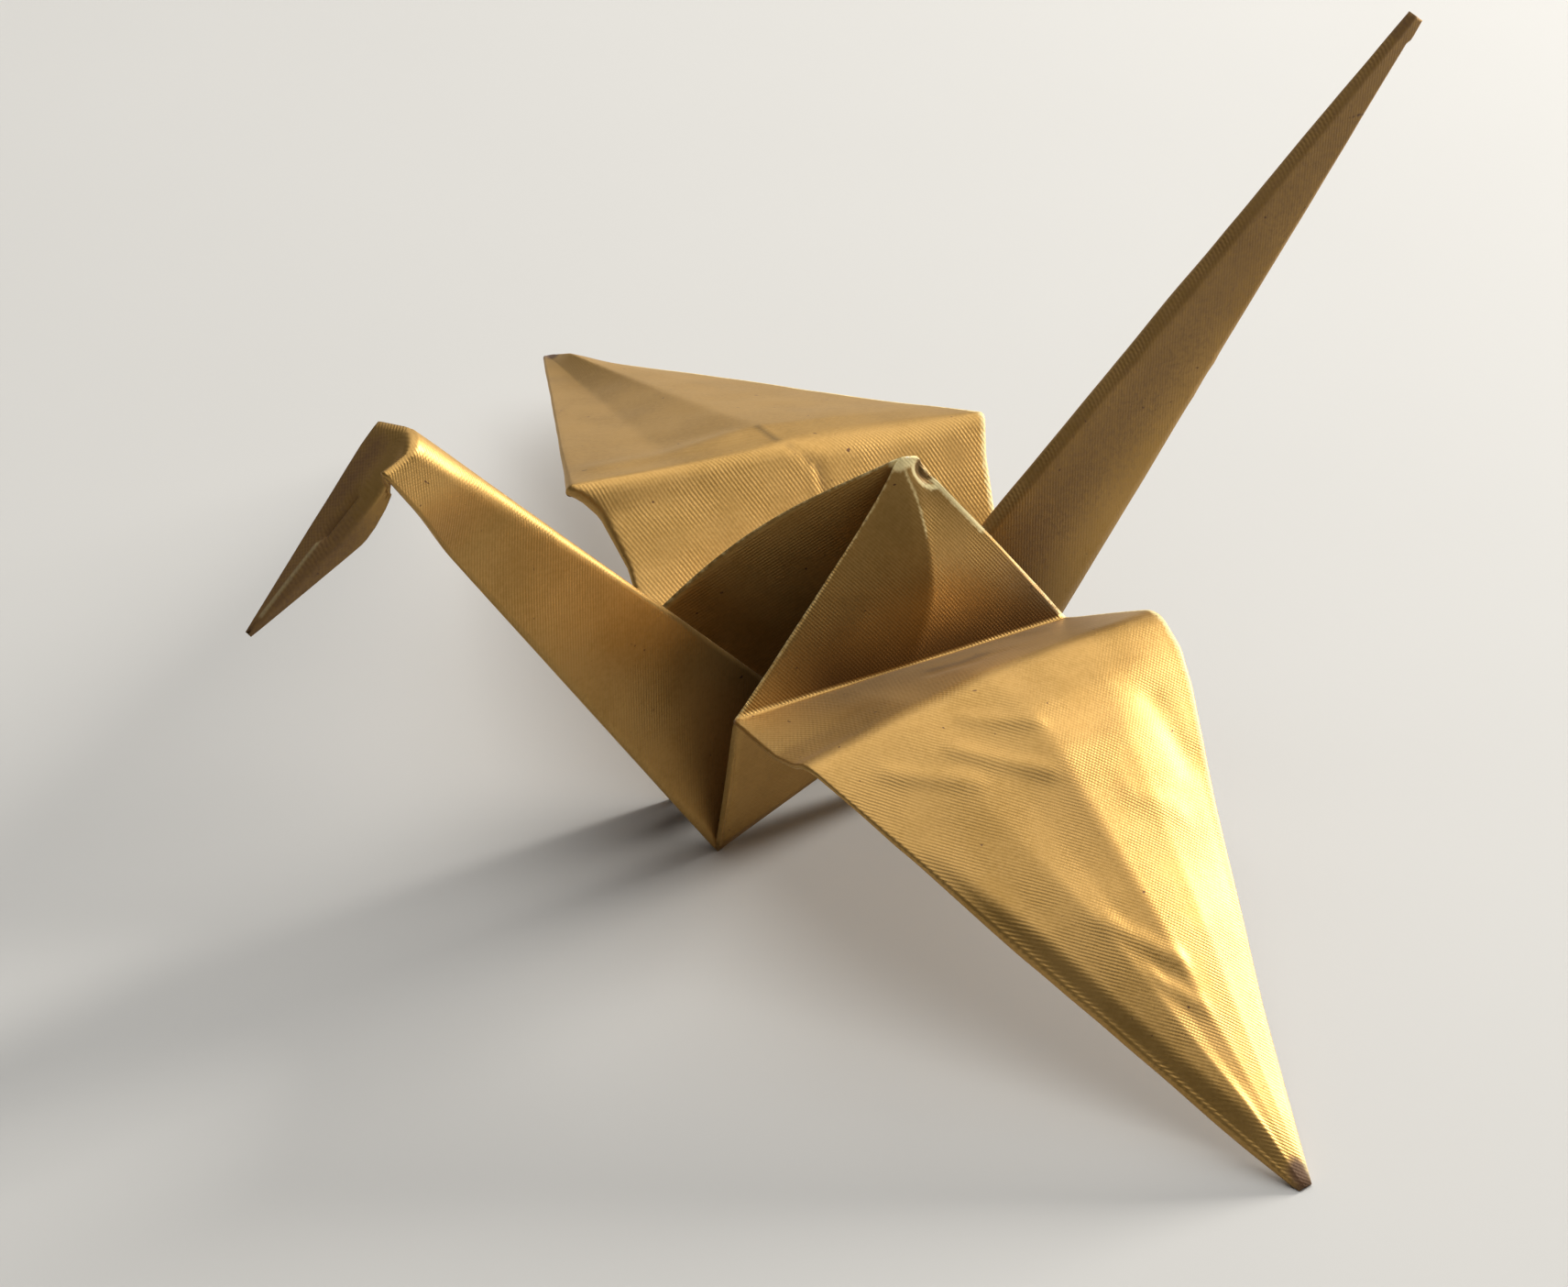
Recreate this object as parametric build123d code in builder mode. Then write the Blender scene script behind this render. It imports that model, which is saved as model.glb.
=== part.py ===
"""Origami crane: one square sheet folded into a standing bird.

Millimetres, +Z up. The head points to -X, the tail to +X. The near wing reaches to -Y and its tip
touches the table. The far wing reaches to +Y. The origin is the middle of the footprint.

The folded sheet is made of flat panels that share their fold lines. Where the sheet lies on itself
in pressed layers, the panel is as thick as its layers.
"""

import os
from math import cos, radians, sin

from build123d import *

os.makedirs("parts", exist_ok=True)

# Paper
paper = 0.15
wing_layers = 2
leg_layers = 3
side_layers = 2

# Hump: apex of the body, the centre of the sheet
apex_x = 1.0
apex_height = 33.0
hump_bulge = 1.1
hump_bulge_drop = 0.55

# Front ridges of the hump: how far their middles stand off a straight line to the apex
near_ridge_back = 0.7
near_ridge_in = 0.5
near_ridge_drop = 0.3
far_ridge_forward = 0.6
far_ridge_out = 0.7
far_ridge_rise = 1.6

# Shoulders: the ends of the two wing folds
front_shoulder_x = -18.5
front_shoulder_half = 7.5
front_shoulder_height = 17.5
rear_shoulder_x = 16.5
rear_shoulder_half = 5.2
rear_shoulder_height = 15.0

# Feet: the lowest corners of the legs, where the neck and the tail are turned up
front_foot_x = -17.0
front_foot_half = 3.8
rear_foot_x = 10.5
rear_foot_half = 2.6

# Crotches: where the spines of the neck and the tail start, deep inside the body
neck_root_x = -3.5
neck_root_height = 5.8
tail_root_x = -1.8
tail_root_height = 9.8

# Neck and tail: spine lengths and slopes
neck_length = 61.0
neck_slope = 46.5
neck_depth = 4.4
neck_end_flare_out = 2.6
neck_end_flare_drop = 0.6
neck_end_flare_reach = 1.2
tail_length = 74.8
tail_slope = 47.3
tail_tip_cut = 5.0

# Head: the end of the neck, folded down and opened like a beak
head_length = 19.6
head_slope = 48.0
jaw_along = 9.2
jaw_drop = 2.5
jaw_out = 1.0
crown_along = 3.4
crown_rise = 0.4
crown_out = 2.6
beak_cut = 2.0

# Body sides: from the wing folds down to the notch between the legs
notch_x = 0.0
notch_half = 4.5
notch_height = 9.0

# Wings: the band rises from the shoulders to a soft bend, then the blade falls to the tip
band_width = 12.9
slit_width = 0.5
tip_width = 1.2
root_lap = 0.4
near_front_rise = 20.0
near_rear_rise = 36.0
near_front_flare = 0.9
near_rear_flare = 1.5
near_tip_x = 4.2
near_tip_reach = 60.8
near_tip_height = 0.0
far_front_rise = 39.0
far_rear_rise = 42.0
far_front_flare = 2.5
far_rear_flare = 2.5
far_tip_x = 1.5
far_tip_reach = 61.1
far_tip_height = 6.4

# Middle crease of each blade: its height over a flat blade at the bend and between its two stations
crease_start = 0.1
crease_end = 0.65
near_bend_lift = 0.8
near_crease_lift = 3.0
far_bend_lift = 0.1
far_crease_lift = 0.8


# Directions
aside = Vector(0, 1, 0)
upward = Vector(0, 0, 1)


def between(start, end, share):
    """Point that lies at a share of the way from start to end."""
    return start + (end - start) * share


def far_side(point):
    """Mirror image of a point in the middle plane of the body."""
    return Vector(point.X, -point.Y, point.Z)


def panel(corners, layers, way, above=0.5):
    """Flat panel of the sheet between its fold lines.

    It is as thick as its layers along a way, with the given number of paper thicknesses above its corners.
    """
    lift = way * (paper * above)
    raised = [corner + lift for corner in corners]
    side = raised[1] - raised[0]
    across = raised[2] - raised[0]
    plane = Plane(origin=raised[0], x_dir=side, z_dir=side.cross(across))
    outline = [plane.to_local_coords(corner) for corner in raised]
    with BuildPart() as sheet:
        with BuildSketch(plane):
            with BuildLine():
                Polyline(*[(corner.X, corner.Y) for corner in outline], close=True)
            make_face()
        extrude(amount=layers * paper, dir=-way)
    return sheet.part


def wing(front, rear, side, rises, flares, tip, lifts):
    """Panels of one wing: the band beside the body and the roofed blade with its slit below.

    Rises and flares are given at the front and at the rear, lifts at the bend and along the crease.
    """
    along = (rear - front).normalized()
    out = aside * side
    front_lift, rear_lift = [out * cos(radians(rise)) + upward * sin(radians(rise)) for rise in rises]
    front_bend = front + front_lift * band_width - along * flares[0]
    rear_bend = rear + rear_lift * band_width + along * flares[1]
    row_way = (rear_bend - front_bend).normalized()
    front_tip = tip - row_way * (tip_width / 2)
    rear_tip = tip + row_way * (tip_width / 2)
    half_slit = row_way * (slit_width / 2)
    rows = []
    for share, lift in ((0, lifts[0]), (crease_start, lifts[1]), (crease_end, lifts[1]), (1, 0)):
        front_edge = between(front_bend, front_tip, share)
        rear_edge = between(rear_bend, rear_tip, share)
        crease = between(front_edge, rear_edge, 0.5) + upward * lift
        rows.append([front_edge, crease - half_slit, crease + half_slit, rear_edge])

    root_front = front - out * root_lap
    root_rear = rear - out * root_lap
    root_middle = between(root_front, root_rear, 0.5)
    front_end, crease_front, crease_rear, rear_end = rows[0]
    sheets = [
        panel([root_front, crease_front, front_end], wing_layers, upward),
        panel([root_front, root_middle, crease_front], wing_layers, upward),
        panel([root_middle, crease_rear, crease_front], wing_layers, upward),
        panel([root_middle, root_rear, crease_rear], wing_layers, upward),
        panel([root_rear, rear_end, crease_rear], wing_layers, upward),
    ]
    for inner, outer in zip(rows, rows[1:]):
        for place, layers in enumerate((wing_layers, wing_layers - 1, wing_layers)):
            start, end = inner[place], inner[place + 1]
            far_start, far_end = outer[place], outer[place + 1]
            sheets.append(panel([start, end, far_end], layers, upward))
            sheets.append(panel([start, far_end, far_start], layers, upward))
    return sheets


def body(ridge):
    """Panels of one side of the body, as the near side has them, with their layers."""
    return [
        ([apex, ridge, hump_swell], 1),
        ([ridge, front_shoulder, hump_swell], 1),
        ([apex, hump_swell, rear_shoulder], 1),
        ([front_shoulder, rear_shoulder, hump_swell], 1),
        ([apex, neck_root, ridge], 1),
        ([ridge, neck_root, front_shoulder], 1),
        ([apex, rear_shoulder, tail_root], 1),
        ([front_shoulder, neck_root, front_foot], leg_layers),
        ([rear_shoulder, rear_foot, tail_root], leg_layers),
        ([front_shoulder, front_foot, notch], side_layers),
        ([front_shoulder, notch, rear_shoulder], side_layers),
        ([rear_shoulder, notch, rear_foot], side_layers),
        ([tail_root, rear_foot, tail_low, tail_end], leg_layers),
    ]


# Fold points
apex = Vector(apex_x, 0, apex_height)
front_shoulder = Vector(front_shoulder_x, -front_shoulder_half, front_shoulder_height)
rear_shoulder = Vector(rear_shoulder_x, -rear_shoulder_half, rear_shoulder_height)
front_foot = Vector(front_foot_x, -front_foot_half, 0)
rear_foot = Vector(rear_foot_x, -rear_foot_half, 0)
neck_root = Vector(neck_root_x, 0, neck_root_height)
tail_root = Vector(tail_root_x, 0, tail_root_height)

neck_way = Vector(-cos(radians(neck_slope)), 0, sin(radians(neck_slope)))
tail_way = Vector(cos(radians(tail_slope)), 0, sin(radians(tail_slope)))
head_way = Vector(-cos(radians(head_slope)), 0, -sin(radians(head_slope)))
head_up = Vector(-sin(radians(head_slope)), 0, cos(radians(head_slope)))

nape = neck_root + neck_way * neck_length
leg_drop = (front_foot - neck_root) - neck_way * (front_foot - neck_root).dot(neck_way)
near_throat = nape + leg_drop.normalized() * neck_depth
far_throat = nape + Vector(-neck_end_flare_reach, neck_end_flare_out, -neck_end_flare_drop)

jaw = nape + head_way * jaw_along - head_up * jaw_drop - aside * jaw_out
crown = nape + head_way * crown_along + head_up * crown_rise + aside * crown_out
beak_end = nape + head_way * head_length
beak_point = beak_end + head_way * beak_cut
beak_low = between(beak_point, jaw, beak_cut / (jaw - beak_point).length)
beak_high = between(beak_point, crown, beak_cut / (crown - beak_point).length)

tail_end = tail_root + tail_way * tail_length
tail_point = tail_end + tail_way * tail_tip_cut
tail_low = between(tail_point, rear_foot, tail_tip_cut / (rear_foot - tail_point).length)

fold_middle = between(front_shoulder, rear_shoulder, 0.5)
face_out = (front_shoulder - apex).cross(rear_shoulder - apex).normalized()
hump_swell = between(apex, fold_middle, hump_bulge_drop) + face_out * hump_bulge

near_ridge = between(apex, front_shoulder, 0.5) + Vector(near_ridge_back, near_ridge_in, -near_ridge_drop)
far_ridge = between(apex, front_shoulder, 0.5) + Vector(-far_ridge_forward, -far_ridge_out, far_ridge_rise)
notch = Vector(notch_x, -notch_half, notch_height)

wing_underside = paper * (wing_layers - 0.5)
near_tip = Vector(near_tip_x, -near_tip_reach, near_tip_height + wing_underside)
far_tip = Vector(far_tip_x, far_tip_reach, far_tip_height + wing_underside)

# Panels of the neck and of the near half of the head, and those of the far half, which is opened flat
neck_panels = [
    [neck_root, front_foot, near_throat, nape],
    [neck_root, far_side(front_foot), far_throat],
    [neck_root, far_throat, nape],
    [nape, near_throat, jaw],
    [nape, jaw, beak_low, beak_end],
]
crown_panels = [
    [nape, far_throat, crown],
    [nape, crown, beak_high, beak_end],
]

sheets = []
for corners in neck_panels:
    sheets.append(panel(corners, leg_layers, aside, leg_layers / 2))
for corners in crown_panels:
    sheets.append(panel(corners, leg_layers, upward, leg_layers / 2))
for corners, layers in body(near_ridge):
    sheets.append(panel(corners, layers, aside, layers / 2))
for corners, layers in body(far_ridge):
    sheets.append(panel([far_side(corner) for corner in corners], layers, aside, layers / 2))
sheets += wing(
    front_shoulder,
    rear_shoulder,
    -1,
    (near_front_rise, near_rear_rise),
    (near_front_flare, near_rear_flare),
    near_tip,
    (near_bend_lift, near_crease_lift),
)
sheets += wing(
    far_side(front_shoulder),
    far_side(rear_shoulder),
    1,
    (far_front_rise, far_rear_rise),
    (far_front_flare, far_rear_flare),
    far_tip,
    (far_bend_lift, far_crease_lift),
)

with BuildPart() as folded_crane:
    add(sheets)

# The origin goes to the middle of the footprint, on the table
reach = folded_crane.part.bounding_box()
footprint = Vector(reach.center().X, reach.center().Y, reach.min.Z)
crane = folded_crane.part.moved(Location(-footprint))
crane.label = "folded_crane"
export_step(crane, "parts/folded_crane.step")
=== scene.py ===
"""Gold origami crane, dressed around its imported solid.

One square sheet is folded into a standing bird. The sizes in the classes are millimetres in the
fold frame. The mesh is in metres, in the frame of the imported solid.
"""

import logging
from dataclasses import dataclass, field
from enum import Enum, IntEnum
from math import cos, pi, radians, sin

import bmesh
import bpy
import numpy as np
from mathutils import Matrix, Vector, noise


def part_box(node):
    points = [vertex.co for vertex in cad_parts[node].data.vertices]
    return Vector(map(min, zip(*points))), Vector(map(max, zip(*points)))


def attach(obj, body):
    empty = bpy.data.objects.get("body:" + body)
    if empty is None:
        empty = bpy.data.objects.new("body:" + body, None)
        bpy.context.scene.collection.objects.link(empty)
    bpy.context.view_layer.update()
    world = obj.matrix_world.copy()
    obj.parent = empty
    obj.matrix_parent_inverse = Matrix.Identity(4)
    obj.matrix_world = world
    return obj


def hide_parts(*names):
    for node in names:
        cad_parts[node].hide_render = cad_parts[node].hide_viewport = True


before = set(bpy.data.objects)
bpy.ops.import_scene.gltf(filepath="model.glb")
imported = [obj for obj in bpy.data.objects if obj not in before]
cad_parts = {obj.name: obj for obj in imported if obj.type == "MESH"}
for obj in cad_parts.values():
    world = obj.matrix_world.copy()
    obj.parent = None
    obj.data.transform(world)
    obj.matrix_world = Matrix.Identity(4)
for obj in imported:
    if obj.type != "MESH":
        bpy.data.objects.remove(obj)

Points = np.ndarray
Colour = tuple[float, float, float, float]
Socket = bpy.types.NodeSocket
Feed = Socket | float | tuple[float, ...]
Layer = bmesh.types.BMLayerItem

log = logging.getLogger("crane")

NODE = "folded_crane"
BODY = "root"
MM = 0.001
ASIDE = np.array([0.0, 1.0, 0.0])
UPWARD = np.array([0.0, 0.0, 1.0])

# Rolled spines: largest radius as a share of the depth, share of the columns that turn, rows to a full turn
SPINE_DEPTH_SHARE = 0.4
SPINE_TURN_SHARE = 0.3
SPINE_START_ROWS = 6

# Smallest squared step of a line that is divided by
LEAST_STEP = 1e-9

# Radians to a unit of length in Blender's wave texture at scale one
WAVE_RATE = 20.0


class Side(Enum):
    """The two sides of the bird, by the sign of Y."""

    NEAR = -1
    FAR = 1


class Steps(IntEnum):
    """Number of mesh steps along the fold lines."""

    FOLD = 60
    RIDGE = 48
    HEM = 26
    LEG = 20
    NECK = 84
    HEAD = 34
    TAIL = 96
    BAND = 22
    BLADE = 76
    UNDER = 14
    WRAP = 10
    RING = 24


class Wear(Enum):
    """Ways in which the paper is worn, and the painted shade and painted highlight that are laid on the same
    way.
    """

    # Rubbed: gold worn off to the pale paper, and also a painted highlight along the hump's rear ridge
    RUBBED_AND_HIGHLIGHT = "rubbed"
    # Soiled: real grime on the tips, and also painted shade over the head and the tail
    SOILED_AND_SHADED = "soiled"
    # Painted shade: darkening painted where folds, recesses and shadowed bands are
    PAINTED_SHADE = "painted_shade"


def point(x: float, y: float, z: float) -> Points:
    """Make a point or a direction."""
    return np.array([x, y, z], dtype=float)


def held(x: float, y: float, z: float) -> Points:
    """Make a field of a class that holds a point."""
    return field(default_factory=lambda: point(x, y, z))


def unit(way: Points) -> Points:
    """Scale a direction to length one."""
    return way / np.linalg.norm(way)


def between(start: Points, end: Points, share: float) -> Points:
    """Find the point at a share of the way from start to end."""
    return start + (end - start) * share


def run(start: Points, end: Points, steps: int) -> Points:
    """Divide a straight fold line into steps.

    Args:
        start: First point.
        end: Last point.
        steps: Number of steps.

    Returns:
        The points along the line, one more than the steps.
    """
    return start + (end - start) * np.linspace(0.0, 1.0, steps + 1)[:, None]


def graded(steps: int, grade: float = 1.4) -> Points:
    """Shares from 0 to 1 that lie closer together towards 1."""
    return 1.0 - (1.0 - np.linspace(0.0, 1.0, steps + 1)) ** grade


def resample(places: Points, stops: Points, line: Points) -> Points:
    """Find points between the points of a line.

    Args:
        places: Where the wanted points lie along the line.
        stops: Where the line's own points lie, in rising order.
        line: The line's own points.

    Returns:
        One point for each place.
    """
    return np.stack([np.interp(places, stops, line[:, k]) for k in range(3)], axis=-1)


def corner(place: Points, steps: int) -> Points:
    """Repeat a point, as the side of a panel that runs to a corner."""
    return np.repeat(place[None, :], steps + 1, axis=0)


def stretch(low: Points, high: Points, left: Points, right: Points) -> Points:
    """Stretch a panel between four fold lines.

    Args:
        low: Line of the first row.
        high: Line of the last row.
        left: Line of the first column.
        right: Line of the last column.

    Returns:
        The grid of points, by row and column.
    """
    across = np.linspace(0.0, 1.0, len(low))[None, :, None]
    along = np.linspace(0.0, 1.0, len(left))[:, None, None]
    rows = (1 - along) * low[None] + along * high[None]
    columns = (1 - across) * left[:, None] + across * right[:, None]
    corners = (1 - along) * ((1 - across) * low[0] + across * low[-1]) + along * (
        (1 - across) * high[0] + across * high[-1]
    )
    return rows + columns - corners


def soft_fold(grid: Points, row: int, reaches: Points) -> Points:
    """Round a fold that lies along one row of a panel.

    Args:
        grid: Points by row and column.
        row: Number of the fold's row.
        reaches: For each column, how far from the fold the rounding starts.

    Returns:
        The grid with the rounded fold.
    """
    made = grid.copy()
    for column, reach in enumerate(reaches):
        line = grid[:, column]
        places = np.concatenate([[0.0], np.cumsum(np.linalg.norm(np.diff(line, axis=0), axis=1))])
        places -= places[row]
        near = np.abs(places) < reach
        inner, outer = resample(np.array([-reach, reach]), places, line)
        share = ((places[near] + reach) / (2 * reach))[:, None]
        made[near, column] = (
            (1 - share) ** 2 * inner + 2 * share * (1 - share) * line[row] + share**2 * outer
        )
    return made


def rolled_spine(grid: Points, side: Side, radii: Points) -> Points:
    """Round the spine that runs down the first column of a panel.

    Args:
        grid: Points by row and column.
        side: Side of the bird that the panel is on.
        radii: Radius of the spine for each row.

    Returns:
        The grid with the rounded spine.
    """
    made = grid.copy()
    shares = np.linspace(0.0, 1.0, grid.shape[1])
    for row in range(1, len(grid)):
        spine, hem = grid[row, 0], grid[row, -1]
        depth = float(np.linalg.norm(hem - spine))
        radius = min(float(radii[row]), SPINE_DEPTH_SHARE * depth)
        turned_share = SPINE_TURN_SHARE * min(1.0, row / SPINE_START_ROWS)
        angle = np.clip(shares / turned_share, 0.0, 1.0)[:, None] * pi / 2
        down = (hem - spine) / depth * radius * (1 - np.cos(angle))
        turned = spine + down + ASIDE * side.value * radius * np.sin(angle)
        rest = np.clip((shares - turned_share) / (1 - turned_share), 0.0, 1.0)[:, None]
        made[row] = turned + (hem - turned[-1]) * rest
    return made


@dataclass(frozen=True)
class Profile:
    """Value that changes along a line."""

    places: tuple[float, ...]
    values: tuple[float, ...]

    def at(self, place: Points) -> Points:
        """Value at each place."""
        return np.interp(place, self.places, self.values)


@dataclass
class FoldPoints:
    """Points where the fold lines of the sheet meet, on the near side."""

    apex: Points = held(1.0, 0.0, 33.0)
    front_shoulder: Points = held(-18.5, -7.5, 17.5)
    rear_shoulder: Points = held(16.5, -5.2, 15.0)
    front_foot: Points = held(-17.0, -3.8, 0.0)
    rear_foot: Points = held(10.5, -2.6, 0.0)
    neck_root: Points = held(-3.5, 0.0, 5.8)
    tail_root: Points = held(-1.8, 0.0, 9.8)
    neck_length: float = 61.0
    neck_slope: float = 46.5
    tail_length: float = 74.8
    tail_slope: float = 47.3

    def neck_way(self) -> Points:
        """Direction of the neck's spine."""
        return point(-cos(radians(self.neck_slope)), 0.0, sin(radians(self.neck_slope)))

    def tail_way(self) -> Points:
        """Direction of the tail's spine."""
        return point(cos(radians(self.tail_slope)), 0.0, sin(radians(self.tail_slope)))

    def nape(self) -> Points:
        """Upper end of the neck's spine."""
        return self.neck_root + self.neck_way() * self.neck_length

    def tail_end(self) -> Points:
        """Upper end of the tail's spine."""
        return self.tail_root + self.tail_way() * self.tail_length

    def on(self, place: Points, side: Side) -> Points:
        """Take a near point, or its mirror image on the far side."""
        return place if side is Side.NEAR else place * np.array([1.0, -1.0, 1.0])

    def shoulder(self, side: Side, front: bool) -> Points:
        """End of a wing fold, at the neck or at the tail."""
        return self.on(self.front_shoulder if front else self.rear_shoulder, side)

    def foot(self, side: Side, front: bool) -> Points:
        """Lowest corner of a leg, at the neck or at the tail."""
        return self.on(self.front_foot if front else self.rear_foot, side)

    def root(self, front: bool) -> Points:
        """Start of the spine of the neck or of the tail, inside the body."""
        return self.neck_root if front else self.tail_root


@dataclass(frozen=True)
class Panel:
    """Part of the sheet between fold lines.

    Attributes:
        grid: Points by row and column.
        axis: Direction on the panel that lies along a diagonal of the sheet.
        layers: Number of pressed paper layers.
        lined: Share of the paper's pale back on the inner side.
    """

    grid: Points
    axis: Points
    layers: float
    lined: float = 0.0


@dataclass(frozen=True)
class WearAndLightLine:
    """Line along which the paper is worn, or along which shade or a highlight is painted.

    Attributes:
        line: Points along it.
        width: Half width of the worn strip.
        strength: Share of wear or painted light in its middle.
        kind: What the wear or the painted light does.
        toward: Direction of the side that is worn or shaded, or None for both sides of the line.
    """

    line: Points
    width: float
    strength: float
    kind: Wear = Wear.RUBBED_AND_HIGHLIGHT
    toward: Points | None = None


@dataclass(frozen=True)
class Crease:
    """Small ridge or dent that runs along a line.

    Attributes:
        line: Points along it.
        width: Half width.
        height: Height of its middle, below zero for a dent.
        out: Direction in which the height counts.
    """

    line: Points
    width: float
    height: float
    out: Points


class FoldedPart:
    """Part of the bird: its panels, its small creases and its worn lines."""

    def panels(self) -> list[Panel]:
        """Panels of the part."""
        raise NotImplementedError

    def creases(self) -> list[Crease]:
        """Small creases, none unless a part has its own."""
        return []

    def wear(self) -> list[WearAndLightLine]:
        """Worn lines and lines of painted shade or highlight, none unless a part has its own."""
        return []


@dataclass
class Hump(FoldedPart):
    """Body of the bird: the middle of the sheet, a hollow pyramid with pushed-in ends."""

    folds: FoldPoints
    face_bulge: float = 1.3
    bulge_crest: float = 1.2
    bulge_lean: float = 0.8
    face_crease_place: float = 0.5
    face_crease_bow: float = 0.08
    near_ridge_bow: Points = held(0.7, 0.5, -0.3)
    far_ridge_bow: Points = held(-0.6, 0.7, 1.6)
    rear_ridge_bow: Points = held(0.3, 0.0, 0.4)
    blunt_front: float = 0.5
    blunt_rear: float = 1.7
    blunt_rise: float = 0.45
    blunt_middle: float = 0.3
    blunt_least: float = 0.03
    front_drop: float = 1.4
    rear_drop: float = 4.0
    eye_middle: Points = held(2.35, -0.4, -1.45)
    eye_long: float = 1.8
    eye_wide: float = 1.15
    cap_front: Points = held(-0.5, -0.1, -0.2)
    cap_rear: Points = held(0.7, -0.1, -0.2)
    # Heights between which the rear ridge gets its painted highlight
    rim_low: float = 0.55
    rim_high: float = 0.95
    # Columns of the near face's foot that take the painted shade, and how far its side leans up
    shade_columns: tuple[int, int] = (18, 56)
    shade_lift: float = 0.6
    layers: float = 1.0
    leg_layers: float = 3.0

    def fold_line(self, side: Side) -> Points:
        """Fold between the hump and a wing, from the front shoulder to the rear one."""
        return run(self.folds.shoulder(side, True), self.folds.shoulder(side, False), Steps.FOLD)

    def blunt(self, grid: Points) -> Points:
        """Widen the top of the hump, which is blunt.

        Args:
            grid: Points of a panel or of a ridge.

        Returns:
            The same points with the blunt top.
        """
        offset = grid - self.folds.apex
        fore, aft = [
            np.maximum(np.exp(offset[..., 2] / drop) - self.blunt_least, 0.0)
            for drop in (self.front_drop, self.rear_drop)
        ]
        half = np.where(offset[..., 0] < 0, self.blunt_front * fore, self.blunt_rear * aft)
        made = grid.copy()
        made[..., 0] += half * np.tanh(offset[..., 0] / self.blunt_middle)
        made[..., 2] += self.blunt_rise * fore
        return made

    def ridge(self, side: Side, front: bool) -> Points:
        """Fold from a shoulder up to the apex.

        Args:
            side: Side of the bird.
            front: True for the ridge at the neck, False for the one at the tail.

        Returns:
            The points along the ridge.
        """
        shoulder = self.folds.shoulder(side, front)
        bow = self.rear_ridge_bow
        if front:
            bow = self.near_ridge_bow if side is Side.NEAR else self.far_ridge_bow
        shares = graded(Steps.RIDGE)[:, None]
        return shoulder + (self.folds.apex - shoulder) * shares + bow * np.sin(pi * shares)

    def face_out(self, side: Side) -> Points:
        """Direction that an outer face looks to."""
        low = self.fold_line(side)
        return unit(np.cross(low[0] - self.folds.apex, low[-1] - self.folds.apex)) * -side.value

    def face_crease(self) -> Points:
        """Share across at which the upright crease of a face lies, for each row."""
        return self.face_crease_place + self.face_crease_bow * np.sin(pi * graded(Steps.RIDGE))

    def face(self, side: Side) -> Panel:
        """Build the outer face above a wing, with its soft upright crease.

        Args:
            side: Side of the bird.

        Returns:
            The panel.
        """
        low, peak = self.fold_line(side), corner(self.folds.apex, Steps.FOLD)
        grid = stretch(low, peak, self.ridge(side, True), self.ridge(side, False))
        across = np.linspace(0.0, 1.0, grid.shape[1])
        for row, crease in zip(grid, self.face_crease()):
            row[:] = resample(np.interp(across, [0.0, 0.5, 1.0], [0.0, crease, 1.0]), across, row)
        tent = (1 - np.abs(2 * across - 1))[None, :] ** self.bulge_crest
        height = self.face_bulge * tent * np.sin(pi * graded(Steps.RIDGE)[:, None] ** self.bulge_lean)
        axis = unit(between(low[0], low[-1], 0.5) - self.folds.apex)
        grid = self.blunt(grid + height[:, :, None] * self.face_out(side))
        return Panel(grid, axis, self.layers, 1.0)

    def inner(self, side: Side, front: bool) -> Panel:
        """Build the pushed-in panel between a ridge and the middle plane.

        Args:
            side: Side of the bird.
            front: True at the neck, False at the tail.

        Returns:
            The panel.
        """
        apex, root = self.folds.apex, self.folds.root(front)
        grid = stretch(
            run(self.folds.shoulder(side, front), root, Steps.HEM),
            corner(apex, Steps.HEM),
            self.ridge(side, front),
            root + (apex - root) * graded(Steps.RIDGE)[:, None],
        )
        return Panel(self.blunt(grid), unit(root - apex), self.layers, 1.0)

    def leg(self, side: Side, front: bool) -> Panel:
        """Build the pressed panel from a shoulder down to a foot.

        Args:
            side: Side of the bird.
            front: True at the neck, False at the tail.

        Returns:
            The panel.
        """
        folds = self.folds
        shoulder, root, foot = folds.shoulder(side, front), folds.root(front), folds.foot(side, front)
        grid = stretch(
            run(shoulder, root, Steps.HEM),
            corner(foot, Steps.HEM),
            run(shoulder, foot, Steps.LEG),
            run(root, foot, Steps.LEG),
        )
        return Panel(grid, unit(foot - shoulder), self.leg_layers)

    def panels(self) -> list[Panel]:
        """All panels of the body."""
        made = []
        for side in Side:
            made.append(self.face(side))
            for front in (True, False):
                made.append(self.inner(side, front))
                made.append(self.leg(side, front))
        return made

    def eye(self, share: float) -> Points:
        """Draw a ring inside the open end of the rear ridge.

        Args:
            share: Size of the ring as a share of the opening.

        Returns:
            The points round the ring.
        """
        out = self.face_out(Side.NEAR)
        shoulder = self.folds.rear_shoulder - self.folds.apex
        along = unit(shoulder - out * float(shoulder @ out))
        turn = np.linspace(0.0, 2 * pi, Steps.RING + 1)[:, None]
        ring = along * np.cos(turn) * self.eye_long + np.cross(out, along) * np.sin(turn) * self.eye_wide
        return self.folds.apex + self.eye_middle + ring * share

    def creases(self) -> list[Crease]:
        """The open end of the rear ridge, beside the apex."""
        return [Crease(self.eye(0.4), 0.7, -0.6, self.face_out(Side.NEAR))]

    def wear(self) -> list[WearAndLightLine]:
        """Rubbed ridges, crease and apex, painted shade in the open end and at the foot of the near face, and
        a painted highlight along the rear ridge.
        """
        face = self.face(Side.NEAR).grid
        crease, half = face[:, Steps.FOLD // 2], Steps.RIDGE // 2
        cap = np.array([face[-1, 0] + self.cap_front, face[-1, 0] + self.cap_rear])
        heights = graded(Steps.RIDGE)
        # Painted highlight: a pale strip down the rear ridge where it catches the light
        rear_rim_highlight = face[(heights >= self.rim_low) & (heights <= self.rim_high), -1]
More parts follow.
